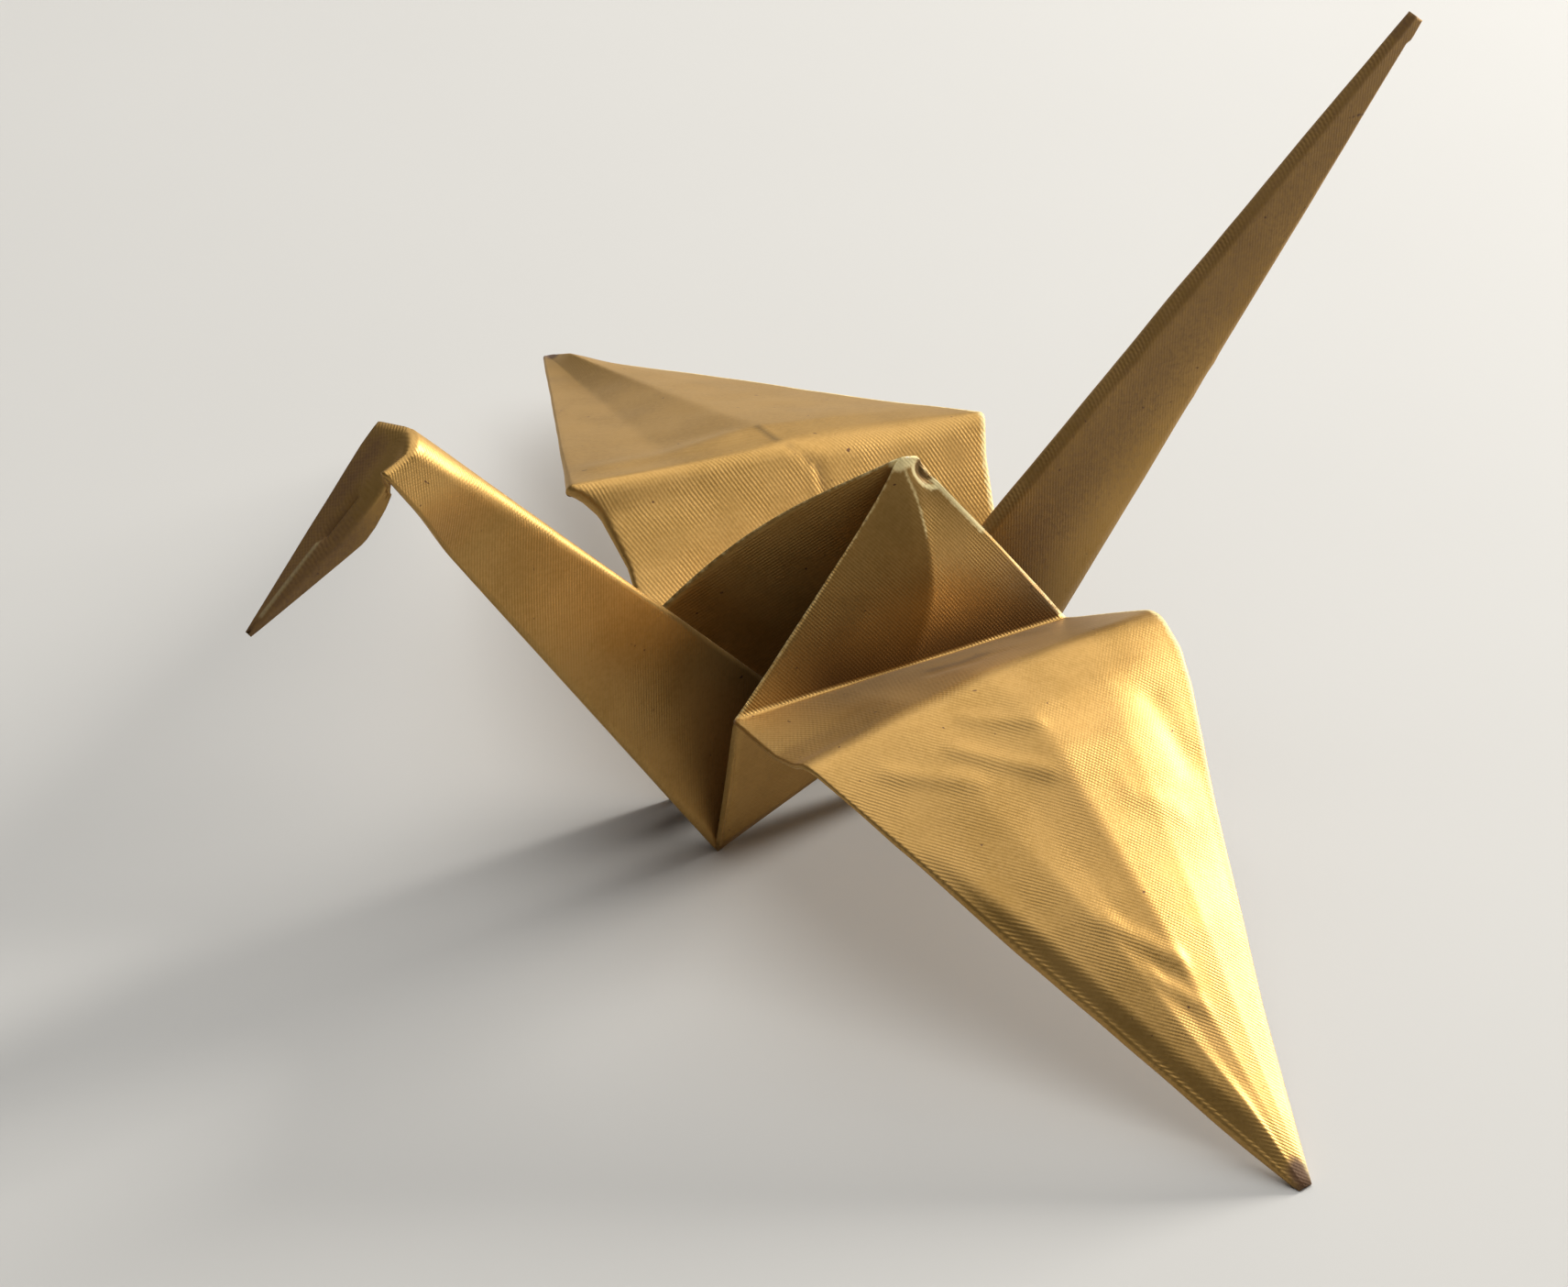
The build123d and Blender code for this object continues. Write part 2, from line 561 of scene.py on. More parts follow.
        # Painted shade: the foot of the near face darkened along the wing fold, on the face side only
        foot = face[0, slice(*self.shade_columns)]
        along = unit(foot[-1] - foot[0])
        up_face = np.cross(UPWARD, along) + UPWARD * self.shade_lift
        up_face = unit(up_face - along * float(up_face @ along))
        ridges = [self.blunt(self.ridge(side, front)) for side in Side for front in (True, False)]
        return [
            WearAndLightLine(crease[:half], 0.2, 0.2),
            WearAndLightLine(crease[half:], 0.26, 0.5),
            # Painted shade inside the open end of the rear ridge
            WearAndLightLine(self.eye(0.4), 0.75, 1.0, Wear.PAINTED_SHADE),
            # Painted shade at the foot of the near face
            WearAndLightLine(foot, 6.4, 1.0, Wear.PAINTED_SHADE, up_face),
            WearAndLightLine(cap, 0.85, 1.0),
            WearAndLightLine(self.eye(1.0), 0.28, 0.9),
            # Painted highlight along the rear ridge
            WearAndLightLine(rear_rim_highlight, 0.5, 0.85),
            *[WearAndLightLine(ridge, 0.25, 0.4) for ridge in ridges],
        ]


@dataclass
class BodySides(FoldedPart):
    """Flat sides of the body, below the wing folds, with a notch between the legs."""

    folds: FoldPoints
    notch: Points = held(0.0, -4.5, 9.0)
    slit: float = 0.35
    slit_taper: float = 12.0
    layers: float = 2.0

    def panels(self) -> list[Panel]:
        """The sides, each open by a slit along its wing."""
        folds, half = self.folds, Steps.HEM // 2
        shares = np.linspace(0.0, 1.0, Steps.HEM + 1)
        made = []
        for side in Side:
            front, rear = folds.shoulder(side, True), folds.shoulder(side, False)
            front_foot, rear_foot = folds.foot(side, True), folds.foot(side, False)
            notch = folds.on(self.notch, side)
            top = run(front, rear, Steps.HEM)
            top[:, 2] -= self.slit * np.minimum(1.0, self.slit_taper * np.minimum(shares, 1 - shares))
            low = np.vstack([run(front_foot, notch, half), run(notch, rear_foot, half)[1:]])
            grid = stretch(top, low, run(front, front_foot, Steps.LEG), run(rear, rear_foot, Steps.LEG))
            made.append(Panel(grid, -UPWARD, self.layers))
        return made


@dataclass(frozen=True)
class Mark:
    """Line over a wing that is pressed in or that carries painted shade.

    Attributes:
        spots: Points of the line, each a share across the wing and a place along it.
        width: Half width.
        amount: Height of a crease, below zero for a dent, or strength of the painted shade.
    """

    spots: tuple[tuple[float, float], ...]
    width: float
    amount: float


@dataclass
class Wing(FoldedPart):
    """Wing: the band beside the body, the soft bend and the blade, folded under along both edges.

    Places along a wing run from -1 at the body over 0 at the bend to 1 at the tip.
    """

    folds: FoldPoints
    side: Side
    front_rise: float
    rear_rise: float
    front_flare: float
    rear_flare: float
    tip: Points
    flutes: Profile
    lifts: Profile
    bend_reach: Profile
    front_roll: Profile
    rear_roll: Profile
    front_swell: Profile
    front_sag: Profile
    rear_bulge: Profile
    wrinkles: tuple[Mark, ...]
    shades: tuple[Mark, ...]
    front_draw: Profile = Profile((-1.0, 1.0), (0.0, 0.0))
    rear_wear: float = 0.6
    swell_width: float = 1.3
    swell_end: float = 0.5
    swell_fade: float = 0.25
    sag_share: float = 0.3
    band_width: float = 12.9
    blade_grade: float = 1.2
    tip_width: float = 1.2
    flute_blur: float = 0.014
    slit_width: float = 0.5
    slit_most: float = 0.3
    gap: float = 0.3
    inset_rows: int = 4
    layers: float = 1.0

    def bend_corners(self) -> tuple[Points, Points]:
        """Front and rear ends of the soft bend."""
        front, rear = self.folds.shoulder(self.side, True), self.folds.shoulder(self.side, False)
        along = unit(rear - front)
        front_lift, rear_lift = [
            ASIDE * self.side.value * cos(radians(rise)) + UPWARD * sin(radians(rise))
            for rise in (self.front_rise, self.rear_rise)
        ]
        return (
            front + front_lift * self.band_width - along * self.front_flare,
            rear + rear_lift * self.band_width + along * self.rear_flare,
        )

    def places(self) -> Points:
        """Places of the rows along the wing."""
        band = np.linspace(-1.0, 0.0, Steps.BAND + 1)
        return np.concatenate([band, np.linspace(0.0, 1.0, Steps.BLADE + 1)[1:] ** self.blade_grade])

    def edges(self, place: float) -> tuple[Points, Points]:
        """Find both ends of a row.

        Args:
            place: Place of the row along the wing.

        Returns:
            Its front end and its rear end.
        """
        front_bend, rear_bend = self.bend_corners()
        if place < 0:
            front, rear = self.folds.shoulder(self.side, True), self.folds.shoulder(self.side, False)
            return between(front, front_bend, 1 + place), between(rear, rear_bend, 1 + place)
        half_tip = unit(rear_bend - front_bend) * (self.tip_width / 2)
        return between(front_bend, self.tip - half_tip, place), between(rear_bend, self.tip + half_tip, place)

    def flute(self, across: Points) -> Points:
        """Height of the lengthwise flutes at shares across the wing."""
        spread = np.linspace(-self.flute_blur, self.flute_blur, 5)
        return np.mean([self.flutes.at(across + shift) for shift in spread], axis=0)

    def top(self) -> Points:
        """Upper side of the wing, by row and column."""
        across = np.linspace(0.0, 1.0, Steps.FOLD + 1)
        height = self.flute(across) - np.interp(across, [0, 1], self.flute(np.array([0.0, 1.0])))
        fade = np.clip((self.swell_end - across) / self.swell_fade, 0.0, 1.0)
        sag = np.clip(1 - across / self.sag_share, 0.0, 1.0)
        grid = []
        for row, place in enumerate(self.places()):
            start, end = self.edges(place)
            row_way = unit(end - start)
            start = start + row_way * self.front_draw.at(place)
            end = end + row_way * self.rear_bulge.at(place)
            away = across * float(np.linalg.norm(end - start)) / self.swell_width
            swell = (1 - np.clip(1 - away, 0.0, 1.0) ** 2) * fade
            inset = row_way * min(1.0, row / self.inset_rows) / 2
            start = start + inset * (self.gap + self.front_roll.at(place))
            end = end - inset * (self.gap + self.rear_roll.at(place))
            lift = height * self.lifts.at(place) + swell * self.front_swell.at(place)
            lift = lift - sag * self.front_sag.at(place)
            grid.append(start + (end - start) * across[:, None] + UPWARD * lift[:, None])
        return soft_fold(np.array(grid), int(Steps.BAND), self.bend_reach.at(across))

    def trace(self, spots: tuple[tuple[float, float], ...]) -> Points:
        """Draw a line over the upper side.

        Args:
            spots: Points of the line, each a share across and a place along.

        Returns:
            The points on the wing.
        """
        top, places = self.top(), self.places()
        columns = [(top[:, round(across * Steps.FOLD)], along) for across, along in spots]
        return np.array([resample(along, places, column) for column, along in columns])

    def panels(self) -> list[Panel]:
        """The wing as one strip that goes round both of its long edges."""
        top = self.top()
        ways = np.gradient(top[:, top.shape[1] // 2], axis=0)
        across = np.linspace(0.0, 1.0, top.shape[1])
        turn = np.linspace(0.0, pi, Steps.WRAP + 1)[1:-1, None]
        grid = []
        for row, place in enumerate(self.places()):
            upper = top[row]
            width = float(np.linalg.norm(upper[-1] - upper[0]))
            row_way = (upper[-1] - upper[0]) / width
            normal = unit(np.cross(row_way, ways[row]))
            normal = normal if normal[2] > 0 else -normal
            half_slit = min(self.slit_most, self.slit_width / 2 / width)
            under = np.linspace(0.0, 0.5 - half_slit, Steps.UNDER + 1)
            sides = []
            for edge, way, shares, roll in (
                (upper[0], -row_way, under, self.front_roll.at(place)),
                (upper[-1], row_way, 1 - under, self.rear_roll.at(place)),
            ):
                radius = (self.gap + roll) / 2
                wrap = edge + way * radius * np.sin(turn) - normal * radius * (1 - np.cos(turn))
                depth = self.gap + roll * (1 - under / 0.5) ** 2
                sides.append(np.vstack([wrap, resample(shares, across, upper) - normal * depth[:, None]]))
            grid.append(np.vstack([sides[0][::-1], upper, sides[1]]))
        axis = unit(self.tip - between(*self.bend_corners(), 0.5))
        return [Panel(np.array(grid), axis, self.layers)]

    def creases(self) -> list[Crease]:
        """Small wrinkles of the wing."""
        return [Crease(self.trace(mark.spots), mark.width, mark.amount, UPWARD) for mark in self.wrinkles]

    def wear(self) -> list[WearAndLightLine]:
        """Rubbed lines along the edges, the soiled tip and the lines of painted shade."""
        rows = self.top()
        return [
            WearAndLightLine(rows[:, 0], 0.15, 0.2),
            WearAndLightLine(rows[:, -1], 0.3, self.rear_wear),
            WearAndLightLine(rows[-3:, rows.shape[1] // 2], 1.1, 0.9, Wear.SOILED_AND_SHADED),
            # Painted shade along the marked lines: fold shadows on the band
            *[WearAndLightLine(self.trace(mark.spots), mark.width, mark.amount, Wear.PAINTED_SHADE) for mark in self.shades],
        ]


def near_wing(folds: FoldPoints) -> Wing:
    """Near wing, whose tip rests on the table."""
    return Wing(
        folds, Side.NEAR, front_rise=20.0, rear_rise=36.0, front_flare=0.9, rear_flare=1.5,
        tip=point(4.2, -60.8, 0.225),
        flutes=Profile(
            (0.0, 0.10, 0.24, 0.36, 0.45, 0.50, 0.60, 0.75, 0.88, 0.95, 1.0),
            (0.0, 0.55, 1.55, 2.00, 2.60, 3.00, 2.55, 1.90, 0.95, 0.42, 0.0),
        ),
        lifts=Profile(
            (-1.0, 0.0, 0.10, 0.2, 0.55, 0.75, 0.9, 1.0),
            (0.0, 0.4, 0.8, 1.0, 0.82, 0.5, 0.22, 0.0),
        ),
        bend_reach=Profile((0.0, 0.2, 0.5, 0.75, 0.9, 1.0), (1.5, 1.3, 1.1, 1.0, 1.0, 1.6)),
        front_roll=Profile((-1.0, 0.1, 0.45, 0.9, 1.0), (0.0, 0.0, 0.8, 0.7, 0.2)),
        rear_roll=Profile((-1.0, -0.2, 0.1, 0.9, 1.0), (0.0, 0.1, 0.4, 0.4, 0.1)),
        front_swell=Profile((-1.0, 0.2, 0.45, 0.85, 1.0), (0.0, 0.0, 0.9, 0.8, 0.0)),
        front_sag=Profile((-1.0, -0.75, -0.4, -0.15, 0.0, 1.0), (0.0, 0.6, 1.1, 0.8, 0.0, 0.0)),
        rear_bulge=Profile((-1.0, 0.0, 0.08, 0.15, 0.35, 0.7, 1.0), (0.0, 0.2, 1.4, 1.5, 0.7, 0.0, 0.0)),
        wrinkles=(
            Mark(((0.28, 0.10), (0.45, 0.22)), 0.7, 0.27),
            Mark(((0.36, 0.06), (0.50, 0.13)), 0.6, 0.22),
            Mark(((0.12, 0.08), (0.26, 0.17)), 0.7, 0.18),
            Mark(((0.29, 0.49), (0.48, 0.60)), 0.8, 0.28),
            Mark(((0.30, 0.60), (0.46, 0.68)), 0.6, 0.2),
            Mark(((0.66, 0.30), (0.84, 0.36)), 1.0, 0.09),
            Mark(((0.86, 0.16), (0.93, 0.27)), 1.6, -0.2),
            Mark(((0.47, -0.52), (0.56, -0.42), (0.66, -0.46)), 0.7, -0.12),
        ),
        # Painted shade: the dark crescent of a fold's shadow on the band near the body
        shades=(Mark(((0.50, -0.62), (0.57, -0.55), (0.64, -0.58)), 0.9, 0.55),),
    )


def far_wing(folds: FoldPoints) -> Wing:
    """Far wing, which hangs free, with its band drawn in at the front and a lap in its middle."""
    return Wing(
        folds, Side.FAR, front_rise=39.0, rear_rise=42.0, front_flare=2.5, rear_flare=2.5,
        tip=point(1.5, 61.1, 6.625),
        flutes=Profile((0.0, 0.25, 0.50, 0.75, 1.0), (0.0, 0.10, 1.50, 0.85, 0.0)),
        lifts=Profile((-1.0, 0.0, 0.10, 0.90, 1.0), (0.0, 0.25, 0.9, 0.8, 0.0)),
        bend_reach=Profile((0.0, 0.45, 0.6, 0.85, 1.0), (0.5, 0.8, 1.8, 2.0, 0.4)),
        front_roll=Profile((-1.0, -0.1, 0.0, 0.25, 1.0), (0.0, 1.1, 1.0, 0.2, 0.0)),
        rear_roll=Profile((-1.0, -0.5, 0.3, 1.0), (0.1, 0.25, 0.1, 0.0)),
        front_swell=Profile((-1.0, 1.0), (0.0, 0.0)),
        front_sag=Profile((-1.0, -0.8, -0.2, 0.0, 1.0), (0.0, 0.3, 0.5, 0.0, 0.0)),
        rear_bulge=Profile((-1.0, -0.3, 0.0, 0.2, 1.0), (0.0, 0.3, 0.9, 0.3, 0.0)),
        front_draw=Profile((-1.0, -0.6, -0.2, -0.06, 0.0, 1.0), (0.0, 1.5, 1.9, 0.9, 0.0, 0.0)),
        wrinkles=(
            Mark(((0.06, 0.09), (0.42, 0.09)), 1.3, 0.16),
            Mark(((0.50, 0.02), (0.53, -0.2), (0.53, -0.45), (0.51, -0.9)), 0.35, 0.12),
            Mark(((0.52, 0.0), (0.555, -0.2), (0.555, -0.45), (0.53, -0.9)), 0.35, -0.2),
        ),
        # Painted shade: the shadow line beside the lap that runs up the band
        shades=(
            Mark(((0.50, 0.10), (0.505, 0.02), (0.545, -0.2), (0.545, -0.45), (0.53, -0.9)), 0.3, 0.55),
        ),
    )


@dataclass
class NeckAndHead(FoldedPart):
    """Neck, folded over a spine, and the head, folded down and opened like a beak."""

    folds: FoldPoints
    depth: float = 4.4
    flare_out: float = 2.6
    flare_drop: float = 0.6
    flare_reach: float = 1.2
    head_length: float = 20.4
    head_slope: float = 48.0
    jaw_along: float = 9.2
    jaw_drop: float = 2.5
    jaw_out: float = 1.0
    cheek_along: tuple[float, ...] = (4.67, 5.99, 7.71)
    cheek_drop: tuple[float, ...] = (1.31, 1.83, 2.3)
    cheek_out: tuple[float, ...] = (1.3, 1.3, 1.15)
    crown_along: float = 3.4
    crown_rise: float = 0.4
    crown_out: float = 2.6
    beak_cut: float = 1.2
    fold_reach: float = 0.35
    fold_roll: float = 1.0
    near_radius: Profile = Profile((0.0, 0.08, 0.5, 0.8, 1.0), (0.0, 0.2, 0.35, 0.9, 1.4))
    far_radius: Profile = Profile((0.0, 0.08, 0.5, 0.9, 1.0), (0.0, 0.2, 0.35, 0.5, 0.2))
    throat_lean: Points = held(-1.05, -2.25, 2.45)
    lean_start: float = 0.8
    lean_end: float = 0.915
    layers: float = 3.0

    def head_way(self) -> Points:
        """Direction from the nape to the beak."""
        return point(-cos(radians(self.head_slope)), 0.0, -sin(radians(self.head_slope)))

    def head_up(self) -> Points:
        """Direction out of the head, square to its spine."""
        return point(self.head_way()[2], 0.0, -self.head_way()[0])

    def throat(self, side: Side) -> Points:
        """Find the lower corner at the end of one half of the neck.

        Args:
            side: Side of the bird.

        Returns:
            The corner.
        """
        folds, way = self.folds, self.folds.neck_way()
        if side is Side.FAR:
            return folds.nape() + point(-self.flare_reach, self.flare_out, -self.flare_drop)
        reach = folds.front_foot - folds.neck_root
        return folds.nape() + unit(reach - way * float(reach @ way)) * self.depth

    def half_neck(self, side: Side) -> Points:
        """Lay out one half of the neck, from the root to the nape and from the spine to the hem.

        Args:
            side: Side of the bird.

        Returns:
            The points by row and column.
        """
        folds = self.folds
        foot, end = folds.foot(side, True), self.throat(side)
        neck = stretch(
            run(folds.neck_root, foot, Steps.LEG),
            run(folds.nape(), end, Steps.LEG),
            run(folds.neck_root, folds.nape(), Steps.NECK),
            run(foot, end, Steps.NECK),
        )
        shares = np.linspace(0.0, 1.0, Steps.NECK + 1)
        if side is Side.FAR:
            return rolled_spine(neck, side, self.far_radius.at(shares))
        lean = np.interp(shares, [self.lean_start, self.lean_end], [0.0, 1.0])[:, None, None]
        lean = lean * lean * (3 - 2 * lean)
        across = np.linspace(0.0, 1.0, Steps.LEG + 1)[None, :, None]
        return rolled_spine(neck, side, self.near_radius.at(shares)) + self.throat_lean * lean * across

    def half_head(self, side: Side, top: Points) -> Points:
        """Lay out one half of the head, from the nape to the beak and from the spine to the hem.

        Args:
            side: Side of the bird.
            top: Last row of the neck, along which the head is folded down.

        Returns:
            The points by row and column.
        """
        nape, way, up = self.folds.nape(), self.head_way(), self.head_up()
        bulge = nape + way * self.jaw_along - up * self.jaw_drop - ASIDE * self.jaw_out
        if side is Side.FAR:
            bulge = nape + way * self.crown_along + up * self.crown_rise + ASIDE * self.crown_out
        beak_end = nape + way * self.head_length
        beak_point = beak_end + way * self.beak_cut
        tip = between(beak_point, bulge, self.beak_cut / float(np.linalg.norm(bulge - beak_point)))
        marks = [top[-1], bulge, tip]
        if side is Side.NEAR:
            cheek = zip(self.cheek_along, self.cheek_drop, self.cheek_out)
            marks[1:1] = [nape + way * along - up * drop - ASIDE * out for along, drop, out in cheek]
        stops = np.array(marks)
        lengths = np.insert(np.linalg.norm(np.diff(stops, axis=0), axis=1).cumsum(), 0, 0.0)
        hem = resample(np.linspace(0.0, lengths[-1], Steps.HEAD + 1), lengths, stops)
        return stretch(top, run(beak_end, tip, Steps.LEG), run(nape, beak_end, Steps.HEAD), hem)

    def panels(self) -> list[Panel]:
        """Both halves of the neck and both halves of the head."""
        turned = np.sin(pi / 2 * np.linspace(0.0, 1.0, Steps.LEG + 1))
        made = []
        for side in Side:
            neck = self.half_neck(side)
            whole = np.vstack([neck, self.half_head(side, neck[-1])[1:]])
            roll = self.fold_roll if side is Side.NEAR else 0.0
            whole = soft_fold(whole, int(Steps.NECK), self.fold_reach + roll * turned)
            made.append(Panel(whole[: Steps.NECK + 1], self.folds.neck_way(), self.layers))
            made.append(Panel(whole[Steps.NECK :], self.head_way(), self.layers))
        return made

    def head_line(self, start: float, end: float) -> Points:
        """Stretch of the head's spine between two shares."""
        nape, reach = self.folds.nape(), self.head_way() * self.head_length
        return run(nape + reach * start, nape + reach * end, Steps.HEAD)

    def creases(self) -> list[Crease]:
        """The dark slit along the head's spine."""
        return [Crease(self.head_line(0.32, 0.52), 0.3, -0.5, self.head_up())]

    def wear(self) -> list[WearAndLightLine]:
        """Rubbed spines of the neck and the head, the soiled beak tip, and painted shade over the beak half,
        the far crown and the slit along the spine.
        """
        return [
            WearAndLightLine(run(self.folds.neck_root, self.folds.nape(), Steps.NECK), 0.2, 0.3),
            WearAndLightLine(self.head_line(0.46, 0.92), 0.2, 0.6),
            # Painted shade over the beak half of the head, which lies in shadow
            WearAndLightLine(self.head_line(0.5, 1.0), 6.0, 0.58, Wear.SOILED_AND_SHADED),
            # Painted shade over the crown of the far half
            WearAndLightLine(self.head_line(0.14, 0.4) + ASIDE * 1.4, 2.3, 0.62, Wear.SOILED_AND_SHADED),
            # Painted shade in the slit along the head's spine
            WearAndLightLine(self.head_line(0.34, 0.5), 0.35, 0.9, Wear.SOILED_AND_SHADED),
            WearAndLightLine(self.head_line(0.97, 1.05), 0.9, 0.45, Wear.SOILED_AND_SHADED),
        ]


@dataclass
class Tail(FoldedPart):
    """Tail: two pressed halves that hang from a straight spine."""

    folds: FoldPoints
    tip_cut: float = 5.0
    knob_from: float = 0.97
    knob_swell: float = 0.2
    knob_step: float = 0.006
    grade: float = 1.25
    spine_radius: Profile = Profile((0.0, 0.06, 0.6, 1.0), (0.0, 0.5, 0.6, 0.25))
    layers: float = 3.0

    def half(self, side: Side) -> Points:
        """Lay out one half, from the root to the tip and from the spine to the hem.

        Args:
            side: Side of the bird.

        Returns:
            The points by row and column.
        """
        folds = self.folds
        end = folds.tail_end()
        tip = end + folds.tail_way() * self.tip_cut
        foot = folds.foot(side, False)
        low = between(tip, foot, self.tip_cut / float(np.linalg.norm(foot - tip)))
        shares = graded(Steps.TAIL, self.grade)[:, None]
        grid = stretch(
            run(folds.tail_root, foot, Steps.LEG),
            run(end, low, Steps.LEG),
            folds.tail_root + (end - folds.tail_root) * shares,
            foot + (low - foot) * shares,
        )
        swell = self.knob_swell * np.clip((shares - self.knob_from) / self.knob_step, 0.0, 1.0)[:, :, None]
        grid = grid + (grid - grid[:, :1]) * swell
        return rolled_spine(grid, side, self.spine_radius.at(shares[:, 0]))

    def panels(self) -> list[Panel]:
        """Both halves of the tail."""
        return [Panel(self.half(side), self.folds.tail_way(), self.layers) for side in Side]

    def trace(self, *marks: tuple[float, float]) -> Points:
        """Draw a line over the near half.

        Args:
            marks: Points of the line, each a share along and a share across.

        Returns:
            The points on the tail.
        """
        grid = self.half(Side.NEAR)
        rows = [int(np.searchsorted(graded(Steps.TAIL, self.grade), along)) for along, _ in marks]
        return np.array([grid[row, round(across * Steps.LEG)] for row, (_, across) in zip(rows, marks)])

    def creases(self) -> list[Crease]:
        """Two slight wrinkles across the near half."""
        return [
            Crease(self.trace((0.50, 0.25), (0.545, 0.95)), 0.55, 0.16, -ASIDE),
            Crease(self.trace((0.475, 0.25), (0.495, 0.95)), 0.45, 0.12, -ASIDE),
        ]

    def wear(self) -> list[WearAndLightLine]:
        """Rubbed spine and soiled tip of the tail, and painted shade over its upper part."""
        root, end = self.folds.tail_root, self.folds.tail_end()
        middle = self.trace((0.26, 0.5), (0.6, 0.5), (0.8, 0.5), (1.0, 0.5))
        return [
            WearAndLightLine(run(root, end, Steps.TAIL), 0.25, 0.15),
            # Painted shade over the tail, which faces away from the light
            WearAndLightLine(middle, 8.0, 0.48, Wear.SOILED_AND_SHADED),
            WearAndLightLine(run(between(root, end, self.knob_from), end, Steps.HEAD), 1.2, 0.6, Wear.SOILED_AND_SHADED),
        ]


@dataclass
class FoldedSheet:
    """The whole sheet: its parts welded along their folds, softened, rippled and made as thick as paper."""

    parts: list[FoldedPart]
    shift: Points
    paper: float = 0.15
    fold_angle: float = 24.0
    crisp_angle: float = 60.0
    fold_share: float = 0.4
    ripple: float = 0.07
    ripple_length: float = 9.0
    fine_share: float = 0.5
    fine_ratio: float = 2.3
    fine_shift: tuple[float, float, float] = (7.1, 3.3, 1.7)
    still_height: float = 3.0
    wear_edge: float = 0.12
    sharp_angle: float = 42.0
    plane_samples: int = 400

    def weld(self) -> tuple[bmesh.types.BMesh, Points, Points]:
        """Weld the panels along their shared fold lines.

        Returns:
            The middle surface of the paper, with the thickness and the lining of each vertex.
        """
        panels = [panel for part in self.parts for panel in part.panels()]
        sizes = [panel.grid[..., 0].size for panel in panels]
        stacked = np.vstack([panel.grid.reshape(-1, 3) for panel in panels])
        places, index = np.unique(np.round(stacked, 3), axis=0, return_inverse=True)
        index = index.reshape(-1)
        layers = np.repeat([panel.layers for panel in panels], sizes)
        lined = np.repeat([panel.lined for panel in panels], sizes)
        uses = np.bincount(index)
        thick = np.bincount(index, weights=layers) / uses * self.paper
        lining = np.bincount(index, weights=lined) / uses
        sheet = bmesh.new()
        place = sheet.loops.layers.float_vector.new("sheet_place")
        for spot in places:
            sheet.verts.new(spot)
        sheet.verts.ensure_lookup_table()
        first = 0
        for panel, size in zip(panels, sizes):
            ids = index[first : first + size].reshape(panel.grid.shape[:2])
            first += size
            self.weave(sheet, place, panel, ids)
        return sheet, thick, lining

    def weave(self, sheet: bmesh.types.BMesh, place: Layer, panel: Panel, ids: Points) -> None:
        """Add the faces of one panel, with their place on the flat sheet.

        Args:
            sheet: Mesh that takes the faces.
            place: Layer for the place on the sheet.
            panel: Panel to add.
            ids: Vertex numbers by row and column.
        """
        middle = panel.grid.reshape(-1, 3).mean(axis=0)
        spread = panel.grid.reshape(-1, 3) - middle
        normal = np.linalg.svd(spread[:: max(1, len(spread) // self.plane_samples)])[2][2]
        across = np.cross(normal, panel.axis)
        flat = np.stack([spread @ across, spread @ panel.axis], axis=1).reshape(*ids.shape, 2)
        for row in range(ids.shape[0] - 1):
            for column in range(ids.shape[1] - 1):
                around = [(row, column), (row, column + 1), (row + 1, column + 1), (row + 1, column)]
                kept: dict[int, tuple[int, int]] = {}
                for spot in around:
                    kept.setdefault(int(ids[spot]), spot)
                if len(kept) < 3:
                    continue
                face = sheet.faces.new([sheet.verts[number] for number in kept])
                for loop, spot in zip(face.loops, kept.values()):
                    loop[place] = (*flat[spot], 0.0)

    def soften(self, sheet: bmesh.types.BMesh) -> None:
        """Round the open folds a little and leave the crisp ones.

        Args:
            sheet: Middle surface of the paper.
        """
        low, high = radians(self.fold_angle), radians(self.crisp_angle)
        creased, crisp = set(), set()
        for edge in sheet.edges:
            if len(edge.link_faces) == 2 and edge.calc_face_angle(0.0) > low:
                (crisp if edge.calc_face_angle(0.0) > high else creased).update(edge.verts)
        creased = {vert for vert in creased - crisp if not vert.is_boundary}
        ordered = sorted(creased, key=lambda vert: vert.index)
        moved = []
        for vert in ordered:
            near = [edge.other_vert(vert).co for edge in vert.link_edges]
            moved.append(vert.co.lerp(sum(near, Vector()) / len(near), self.fold_share))
        for vert, spot in zip(ordered, moved):
            vert.co = spot

    def crumple(self, sheet: bmesh.types.BMesh) -> None:
        """Give the paper its slight waves, which fade towards the table.

        Args:
            sheet: Middle surface of the paper.
        """
        sheet.normal_update()
        for vert in sheet.verts:
            spot = vert.co / self.ripple_length
            fine = noise.noise(spot * self.fine_ratio + Vector(self.fine_shift))
            wave = noise.noise(spot) + self.fine_share * fine
            grounded = min(1.0, max(0.0, vert.co.z / self.still_height))
            vert.co += vert.normal * (wave * self.ripple * grounded)

    @staticmethod
    def distance(places: Points, line: Points) -> Points:
        """Measure how far places lie from a line.

        Args:
            places: The places.
            line: Points of the line.

        Returns:
            The distance of each place.
        """
        nearest = np.full(len(places), np.inf)
        for start, end in zip(line, line[1:]):
            step = end - start
            share = np.clip((places - start) @ step / max(float(step @ step), LEAST_STEP), 0.0, 1.0)
            nearest = np.minimum(nearest, np.linalg.norm(places - start - share[:, None] * step, axis=1))
        return nearest

    def press(self, sheet: bmesh.types.BMesh) -> None:
        """Press the small creases and dents into the paper.

        Args:
            sheet: Middle surface of the paper.
        """
        places = np.array([vert.co for vert in sheet.verts])
        moved = places.copy()
        for crease in [crease for part in self.parts for crease in part.creases()]:
            share = np.exp(-((self.distance(places, crease.line) / crease.width) ** 2))
            moved += crease.out * (crease.height * share)[:, None]
        for vert, spot in zip(sheet.verts, moved):
            vert.co = spot

